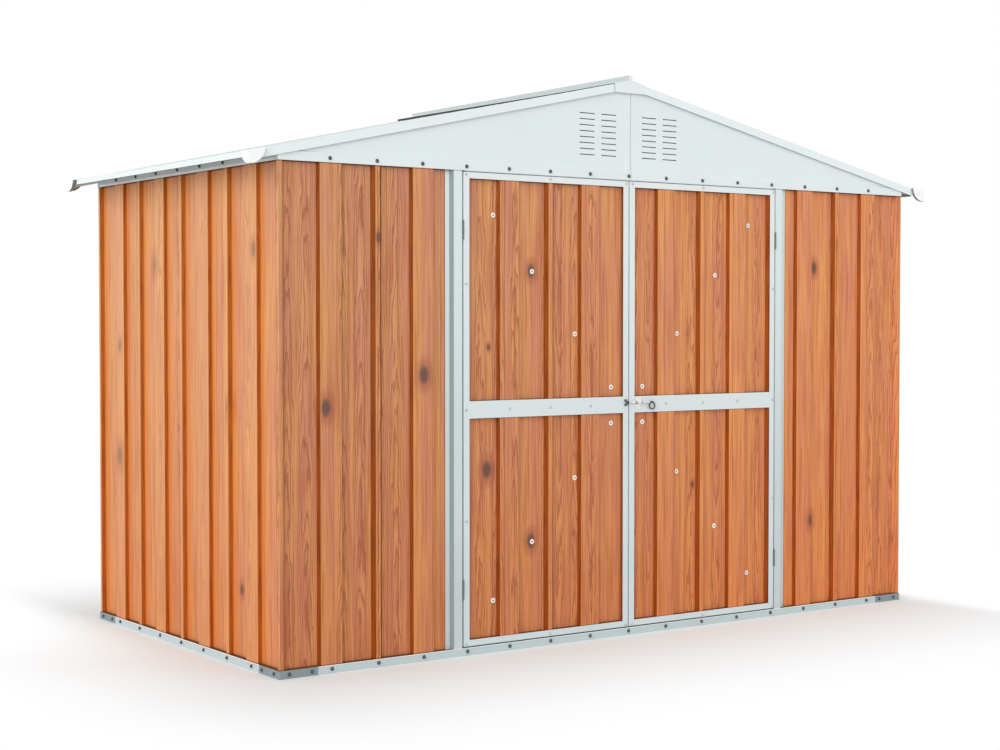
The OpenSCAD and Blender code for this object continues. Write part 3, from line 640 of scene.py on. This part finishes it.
def prism(mesh, outline, ends, at):
    """A bar with this outline of (a, b); at(a, b, t) places its points at t = both ends."""
    rows = [[mesh.verts.new(at(a, b, t)) for a, b in outline] for t in ends]
    for k in range(len(outline)):
        n = (k + 1) % len(outline)
        mesh.faces.new((rows[0][k], rows[0][n], rows[1][n], rows[1][k]))
    mesh.faces.new(rows[0])
    mesh.faces.new(rows[1][::-1])


def finish_piece(mesh, name, body, key, smooth=True):
    """Makes the mesh a piece that rides body and looks like MATERIALS[key]."""
    data = bpy.data.meshes.new(name)
    bmesh.ops.recalc_face_normals(mesh, faces=mesh.faces)
    mesh.to_mesh(data)
    mesh.free()
    for face in data.polygons:
        face.use_smooth = smooth
    if smooth:
        data.set_sharp_from_angle(angle=SHARP)
    data.materials.append(MATERIALS[key])
    piece = bpy.data.objects.new(name, data)
    bpy.context.scene.collection.objects.link(piece)
    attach(piece, body)


def row(count, start, step):
    """Evenly spaced places."""
    return [start + step * k for k in range(count)]


SHARP = math.radians(38)
FRONT = (0, -1, 0)
BACK = (0, 1, 0)
LEFT = (-1, 0, 0)
RIGHT = (1, 0, 0)
CORNERS = [(-1, -1), (-1, 1), (1, -1), (1, 1)]

# Profiles of the fasteners, (radius, height) from the rim to the middle
WASHER = [(0.0074, 0.0), (0.0078, 0.0004), (0.0075, 0.0014), (0.0064, 0.0023), (0.0, 0.0026)]
HEX = [(0.0054, 0.0022), (0.0054, 0.0054), (0.0045, 0.0063), (0.0, 0.0066)]
PAN = [
    (0.0060, 0.0), (0.0060, 0.0008), (0.0052, 0.0021), (0.0034, 0.0029),
    (0.0014, 0.0031), (0.0014, 0.0022), (0.0, 0.0021),
]
DISC = [
    (0.0090, 0.0), (0.0103, 0.0006), (0.0105, 0.0018), (0.0098, 0.0029),
    (0.0078, 0.0035), (0.0056, 0.0030), (0.0040, 0.0025), (0.0, 0.0025),
]
DISC_SCREW = [
    (0.0030, 0.0024), (0.0030, 0.0030), (0.0025, 0.0036),
    (0.0011, 0.0039), (0.0009, 0.0032), (0.0, 0.0031),
]
# Heights of the rows of bolts, the shift of the upper rows along their wall,
# and how far from the corner line the bolts of the joiners are
FLANGE_BOLT_Z = FLANGE_Z + 0.0155
FOOT_BOLT_Z = RAIL_TOP * 0.53
EAVES_BOLT_Z = RAIL_TOP + 1.856
FLANGE_BOLT_SHIFT = -0.003
EAVES_BOLT_SHIFT = 0.018
JOINER_BOLTS = (0.022, 0.116)


def sheet_bolt(mesh, place, normal, spin):
    """A hexagon-headed bolt with its domed washer."""
    lathe(mesh, WASHER, 20, place, normal)
    lathe(mesh, HEX, 6, place, normal, spin)


def pan_screw(mesh, place, normal, size=1.0):
    """A domed screw with a dimple for its drive."""
    lathe(mesh, [(r * size, h * size) for r, h in PAN], 16, place, normal)


def wall_bolts():
    """The rows of bolts in the gable flanges, the base rails and the side top rails.

    Each hexagon is turned by a different amount, which follows from its place.
    """
    flange, foot, eaves = bmesh.new(), bmesh.new(), bmesh.new()
    for x in row(15, -1.4, RIB_STEP):
        for sign, normal in ((-1, FRONT), (1, BACK)):
            y = sign * (WALL_Y + RAIL_FACE)
            sheet_bolt(flange, (x + FLANGE_BOLT_SHIFT, y, FLANGE_BOLT_Z), normal, x * 3)
            sheet_bolt(foot, (x, y, FOOT_BOLT_Z), normal, x * 5)
    for y in row(7, -0.6, RIB_STEP):
        for sign, normal in ((-1, LEFT), (1, RIGHT)):
            rail_x = sign * (WALL_X + RAIL_FACE)
            eaves_x = sign * (WALL_X + FACE)
            sheet_bolt(foot, (rail_x, y, FOOT_BOLT_Z), normal, y * 5)
            sheet_bolt(eaves, (eaves_x, y + EAVES_BOLT_SHIFT, EAVES_BOLT_Z), normal, y * 6)
    for sx, sy in CORNERS:
        for leg in JOINER_BOLTS:
            on_long = (sx * (WALL_X - leg), sy * (WALL_Y + JOINER_FACE), FOOT_BOLT_Z)
            on_side = (sx * (WALL_X + JOINER_FACE), sy * (WALL_Y - leg), FOOT_BOLT_Z)
            sheet_bolt(foot, on_long, (0, sy, 0), leg * 9)
            sheet_bolt(foot, on_side, (sx, 0, 0), leg * 7)
    finish_piece(flange, "gable_flange_bolts", "root", "bolt")
    finish_piece(foot, "base_rail_bolts", "root", "bolt")
    finish_piece(eaves, "side_top_rail_bolts", "root", "bolt")


# Washers that hold the braces of the left leaf: (from the corner line, height)
WASHERS = [
    (0.930, 1.701), (1.117, 1.485), (1.331, 1.238), (1.517, 1.021),
    (1.517, 0.874), (1.331, 0.660), (1.118, 0.417), (0.930, 0.200),
]
# Small screws of the leaf frames, likewise
LEAF_SCREWS = [
    (0.794, 1.852), (1.197, 1.852), (1.583, 1.852), (0.794, 1.432), (0.794, 0.948), (1.000, 0.948),
    (1.197, 0.948), (1.401, 0.948), (0.794, 0.520), (0.794, 0.044), (1.197, 0.044), (1.583, 0.044),
]


def leaf_fasteners(side, body):
    """Washers, their screws and the frame screws of the leaf on this side."""
    discs, heads, screws = bmesh.new(), bmesh.new(), bmesh.new()
    for u, z in WASHERS:
        place = (side * (u - WALL_X), -WALL_Y - FLAT, z)
        lathe(discs, DISC, 24, place, FRONT)
        lathe(heads, DISC_SCREW, 16, place, FRONT)
    for u, z in LEAF_SCREWS:
        pan_screw(screws, (side * (u - WALL_X), -WALL_Y - FACE, z), FRONT)
    finish_piece(discs, body + "_washers", body, "washer")
    finish_piece(heads, body + "_washer_screws", body, "bolt")
    finish_piece(screws, body + "_frame_screws", body, "screw")


# From the edges of the bolt plate, and of the keeper's feet, to their screws
PLATE_INSET_X = 0.0085
PLATE_INSET_Z = 0.0065
KEEPER_INSET_Z = 0.0035


def latch_screws():
    """Four screws in the bolt plate and two in the keeper's feet."""
    face_y = -WALL_Y - PLATE_FACE
    low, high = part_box("bolt_plate")
    plate = bmesh.new()
    for x in (low.x + PLATE_INSET_X, high.x - PLATE_INSET_X):
        for z in (low.z + PLATE_INSET_Z, high.z - PLATE_INSET_Z):
            pan_screw(plate, (x, face_y, z), FRONT, 0.6)
    finish_piece(plate, "bolt_plate_screws", "door_right", "screw")
    low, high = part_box("bolt_keeper")
    keeper = bmesh.new()
    for z in (low.z + KEEPER_INSET_Z, high.z - KEEPER_INSET_Z):
        pan_screw(keeper, ((low.x + high.x) / 2, face_y, z), FRONT, 0.42)
    finish_piece(keeper, "keeper_screws", "door_left", "screw")


def angle_outline(width, height):
    """The outline of an angle strip of sheet with legs of these lengths."""
    return [
        (0.0, 0.0), (width, 0.0), (width, SHEET_T),
        (SHEET_T, SHEET_T), (SHEET_T, height), (0.0, height),
    ]


# Sizes of the door stops, and of the seal that stands in front of the upper one
STOP_BACK = WALL_Y - 0.012
STOP_W = 0.016
STOP_LIP = 0.010
SILL_W = 0.040
SILL_LIP = 0.007
SEAL_H = 0.0035
SEAL_FROM = 0.004
SEAL_TO = 0.0155


def door_stops():
    """Angle strips round the doorway that the closed leaves stand in front of.

    At the head a seal fills the gap between the stop and the header.
    """
    stop = bmesh.new()
    frame_strip = angle_outline(STOP_W, STOP_LIP)
    sill = angle_outline(SILL_W, SILL_LIP)
    top = FLANGE_Z + SHEET_T
    seal = [(SEAL_FROM, top - SEAL_H), (SEAL_TO, top - SEAL_H), (SEAL_TO, top), (SEAL_FROM, top)]
    for side in (-1, 1):
        prism(
            stop, frame_strip, (SHEET_T, top),
            lambda a, b, t: (side * (POST_EDGE - a), b - STOP_BACK, t),
        )
    half = POST_EDGE - STOP_W - SHEET_T
    prism(stop, frame_strip, (-half, half), lambda a, b, t: (t, b - STOP_BACK, top - a))
    prism(stop, seal, (-half, half), lambda a, b, t: (t, -WALL_Y - a, b))
    prism(stop, sill, (-half, half), lambda a, b, t: (t, b - STOP_BACK, SHEET_T + a))
    finish_piece(stop, "door_stops", "root", "stop", smooth=False)


def on_slope(side, along_slope, proud, y):
    """A point on a roof slope: down the slope from the ridge, and out from its ribs."""
    x = along_slope * math.cos(PITCH) + proud * math.sin(PITCH)
    return side * x, y, PEAK_Z - along_slope * math.sin(PITCH) + proud * math.cos(PITCH)


# The outline of the blocks that fill the troughs of the roof sheets, of the
# foam strip under the ridge cap's edge, and where the blocks lie on the slope
TROUGH = [
    (0.030, -ROOF_RIB), (RIB_STEP - 0.030, -ROOF_RIB),
    (RIB_STEP - 0.015, 0.001), (0.015, 0.001),
]
STRIP_UNDER_CAP = [(0.087, 0.0012), (0.093, 0.0012), (0.093, 0.009), (0.087, 0.010)]
BLOCK_ENDS = (0.078, 0.093)
# Height of the foam strips half way and, added to it, what they gain at the
# back and lose at the front, as parts of their outline's height
STRIP_MIDDLE = 0.55
STRIP_TAPER = 0.45


def ridge_seals():
    """Dark foam along the edges of the ridge cap, with a block in each trough of the roof sheets; its
    dark also stands in for the shadow gap under the cap.

    The strips stand higher towards the back, where the cap is lifted most.
    """
    foam = bmesh.new()
    reach = CORNER_HIGH.y - CORNER_GAP - CORNER_T - 0.002
    for side in (-1, 1):
        prism(
            foam, STRIP_UNDER_CAP, (-reach, reach),
            lambda a, b, t: on_slope(side, a, b * (STRIP_MIDDLE + STRIP_TAPER * t / reach), t),
        )
        for start in row(8, -0.8, RIB_STEP):
            prism(foam, TROUGH, BLOCK_ENDS, lambda a, b, t: on_slope(side, t, b, start + a))
    finish_piece(foam, "ridge_seals", "root", "foam", smooth=False)


RIM_W = 0.0015


def curved_rim(width, rise):
    """Outline of a corner cap's rim: a curve from the foot to the top of the cap, and back."""
    angles = [math.radians(a) for a in range(0, 91, 10)]

    def curve(less):
        height = rise + CORNER_H - less
        return [((width - less) * math.cos(a), rise - height * math.sin(a)) for a in angles]

    return curve(0.0) + curve(RIM_W)[::-1]


def corner_cap_rims_shaded():
    """The rims that close the roof corner caps towards the trims, along their curved edges; their
    dark grey is a painted shade on the white plastic.
    """
    rim = bmesh.new()
    top = CORNER_LOW.z + CORNER_H
    ends = (CORNER_T, CORNER_T + CORNER_GAP - 0.001)
    verge = curved_rim(CORNER_VERGE, math.tan(PITCH) * CORNER_VERGE)
    eave = curved_rim(CORNER_EAVE, 0.0)
    for sx, sy in CORNERS:
        x, y = sx * CORNER_HIGH.x, sy * CORNER_HIGH.y
        prism(rim, verge, ends, lambda a, b, t: (x - sx * a, y - sy * t, top + b))
        prism(rim, eave, ends, lambda a, b, t: (x - sx * t, y - sy * a, top + b))
    finish_piece(rim, "corner_cap_rims_shaded", "root", "rim")


# Round the slits of one half of a gable: (from the middle, above the flange)
SCREEN = [
    (0.050, 0.080), (0.270, 0.080), (0.270, 0.225),
    (0.262, 0.272), (0.058, 0.272), (0.050, 0.264),
]


def vent_screens():
    """Dark insect mesh behind the slits of each gable; its dark also stands in for the shade inside
    the gable.
    """
    screen = bmesh.new()
    for sx, sy in CORNERS:
        front = sy * (WALL_Y + GABLE_FACE - 0.005)
        ends = (front, front - sy * 0.001)
        prism(screen, SCREEN, ends, lambda a, b, t: (sx * a, t, FLANGE_Z + b))
    finish_piece(screen, "vent_screens", "root", "mesh", smooth=False)


def gable_laps():
    """The strip over the joint of the two gable halves, at the front and the back."""
    lap = bmesh.new()
    outline = [(-0.018, 0.0), (-0.0175, 0.0008), (0.0055, 0.0008), (0.006, 0.0)]
    ends = (FLANGE_Z + FLANGE_H + 0.0035, PEAK_Z - 0.025)
    for sign in (-1, 1):
        prism(lap, outline, ends, lambda a, b, t: (-sign * a, sign * (WALL_Y + GABLE_FACE + b), t))
    finish_piece(lap, "gable_lap_strips", "root", "gable", smooth=False)


BEAD_R = 0.0012
HEM_STRIP = [(0.0, 0.0), (0.0014, 0.0006), (0.0016, 0.005), (0.0014, 0.0094), (0.0, 0.010)]


def hems():
    """Rounded hems along the top of the base rails and the foot of the side top rails, painted
    lighter than the rails: a painted highlight.
    """
    turns = [math.pi * k / 6 for k in range(7)]
    bead = [(BEAD_R * math.sin(a), BEAD_R - BEAD_R * math.cos(a)) for a in turns]
    base, eaves = bmesh.new(), bmesh.new()
    top = RAIL_TOP - 2 * BEAD_R
    ends = (0.01 - WALL_Y, WALL_Y - 0.01)
    for sign in (-1, 1):
        reach = WALL_X + JOINER_FACE - JOINER_LEG
        face = sign * (WALL_Y + RAIL_FACE)
        prism(base, bead, (-reach, reach), lambda a, b, t: (t, face + sign * a, top + b))
        reach = WALL_Y + JOINER_FACE - JOINER_LEG
        face = sign * (WALL_X + RAIL_FACE)
        prism(base, bead, (-reach, reach), lambda a, b, t: (face + sign * a, t, top + b))
        face = sign * (WALL_X + FACE)
        prism(eaves, HEM_STRIP, ends, lambda a, b, t: (face + sign * a, t, SIDE_RAIL_Z + b))
    finish_piece(base, "base_rail_hems", "root", "hem")
    finish_piece(eaves, "side_top_rail_hems", "root", "hem")


wall_bolts()
leaf_fasteners(1, "door_left")
leaf_fasteners(-1, "door_right")
latch_screws()
door_stops()
ridge_seals()
corner_cap_rims_shaded()
vent_screens()
gable_laps()
hems()

# ------------------------------------------------------- floor, light, camera


# Distance from the walls where the floor starts to turn white, and is white,
# and what a distance to the side is multiplied by, from left to right
FADE_FROM = -0.25
FADE_TO = 1.35
SIDEWAYS = (1.4, 6.0)
FLOOR_LOW = (0.885, 0.925, 0.93, 1.0)
FLOOR_HIGH = (0.90, 0.938, 0.943, 1.0)


def floor_material():
    """Floor that keeps the shadow round the foot and fades to pure white beyond it."""
    look = Finish("studio_floor", 0.9)
    look.gloss(0.0)
    look.colour(look.mix(look.noise(look.point, 0.6, 2.0), FLOOR_LOW, FLOOR_HIGH))
    x, y, _ = look.split(look.point)
    dx = look.math("MAXIMUM", look.math("SUBTRACT", look.size_of(x), WALL_X), 0.0)
    dx = look.times(dx, look.span(look.add(x, y), -WALL_X - WALL_Y, 0.0, *SIDEWAYS))
    dy = look.math("MAXIMUM", look.math("SUBTRACT", look.size_of(y), WALL_Y), 0.0)
    distance = look.math("SQRT", look.add(look.times(dx, dx), look.times(dy, dy)))
    fade = look.span(distance, FADE_FROM, FADE_TO)

    nodes, links = look.tree.nodes, look.tree.links
    white = nodes.new("ShaderNodeEmission")
    white.inputs["Strength"].default_value = 1.0
    seen = nodes.new("ShaderNodeLightPath").outputs["Is Camera Ray"]
    blend = nodes.new("ShaderNodeMixShader")
    look.put(blend.inputs[0], look.times(fade, seen))
    links.new(look.shader.outputs[0], blend.inputs[1])
    links.new(white.outputs[0], blend.inputs[2])
    links.new(blend.outputs[0], nodes["Material Output"].inputs["Surface"])
    return look.material


def studio_floor():
    """The stage under the shed, a hair below it and large enough to reach the horizon."""
    ground = bmesh.new()
    bmesh.ops.create_grid(ground, x_segments=8, y_segments=8, size=60.0)
    data = bpy.data.meshes.new("studio_floor")
    ground.to_mesh(data)
    ground.free()
    data.materials.append(floor_material())
    floor = bpy.data.objects.new("studio_floor", data)
    floor.location.z = -0.0005
    bpy.context.scene.collection.objects.link(floor)


WORLD_LIGHT = 0.62


def studio_world():
    """Plain white light all round; pure white to the camera, in gloss and through glass."""
    world = bpy.data.worlds.new("studio")
    world.use_nodes = True
    bpy.context.scene.world = world
    tree = world.node_tree
    background = tree.nodes["Background"]
    background.inputs["Color"].default_value = (1.0, 1.0, 1.0, 1.0)
    path = tree.nodes.new("ShaderNodeLightPath")
    seen = path.outputs["Is Camera Ray"]
    for kind in ("Is Glossy Ray", "Is Transmission Ray"):
        either = tree.nodes.new("ShaderNodeMath")
        either.operation = "MAXIMUM"
        tree.links.new(seen, either.inputs[0])
        tree.links.new(path.outputs[kind], either.inputs[1])
        seen = either.outputs[0]
    level = tree.nodes.new("ShaderNodeMapRange")
    level.inputs["To Min"].default_value = WORLD_LIGHT
    level.inputs["To Max"].default_value = 1.0
    tree.links.new(seen, level.inputs["Value"])
    tree.links.new(level.outputs[0], background.inputs["Strength"])


def sun(name, direction, strength, angle):
    """A sun that shines along direction; a larger angle, in degrees, softens its shadows."""
    lamp = bpy.data.lights.new(name, "SUN")
    lamp.energy = strength
    lamp.angle = math.radians(angle)
    holder = bpy.data.objects.new(name, lamp)
    holder.rotation_euler = Vector(direction).to_track_quat("-Z", "Y").to_euler()
    bpy.context.scene.collection.objects.link(holder)


# The camera, solved from the edges of the walls, the roof and the rail in the photo
CAMERA_AT = (-4.650, -6.487, 1.285)
CAMERA_TILT = 88.31
CAMERA_TURN = -35.22
CAMERA_LENS = 64.26


def camera():
    data = bpy.data.cameras.new("camera")
    data.lens = CAMERA_LENS
    data.sensor_width = 36.0
    data.clip_end = 200.0
    holder = bpy.data.objects.new("camera", data)
    holder.location = CAMERA_AT
    holder.rotation_euler = (math.radians(CAMERA_TILT), 0.0, math.radians(CAMERA_TURN))
    bpy.context.scene.collection.objects.link(holder)
    bpy.context.scene.camera = holder


studio_floor()
studio_world()
sun("key", (0.83, 0.40, -0.40), 1.5, 50)
sun("fill", (-0.25, 0.87, -0.42), 0.3, 70)
camera()
bpy.context.scene.view_settings.view_transform = "Standard"
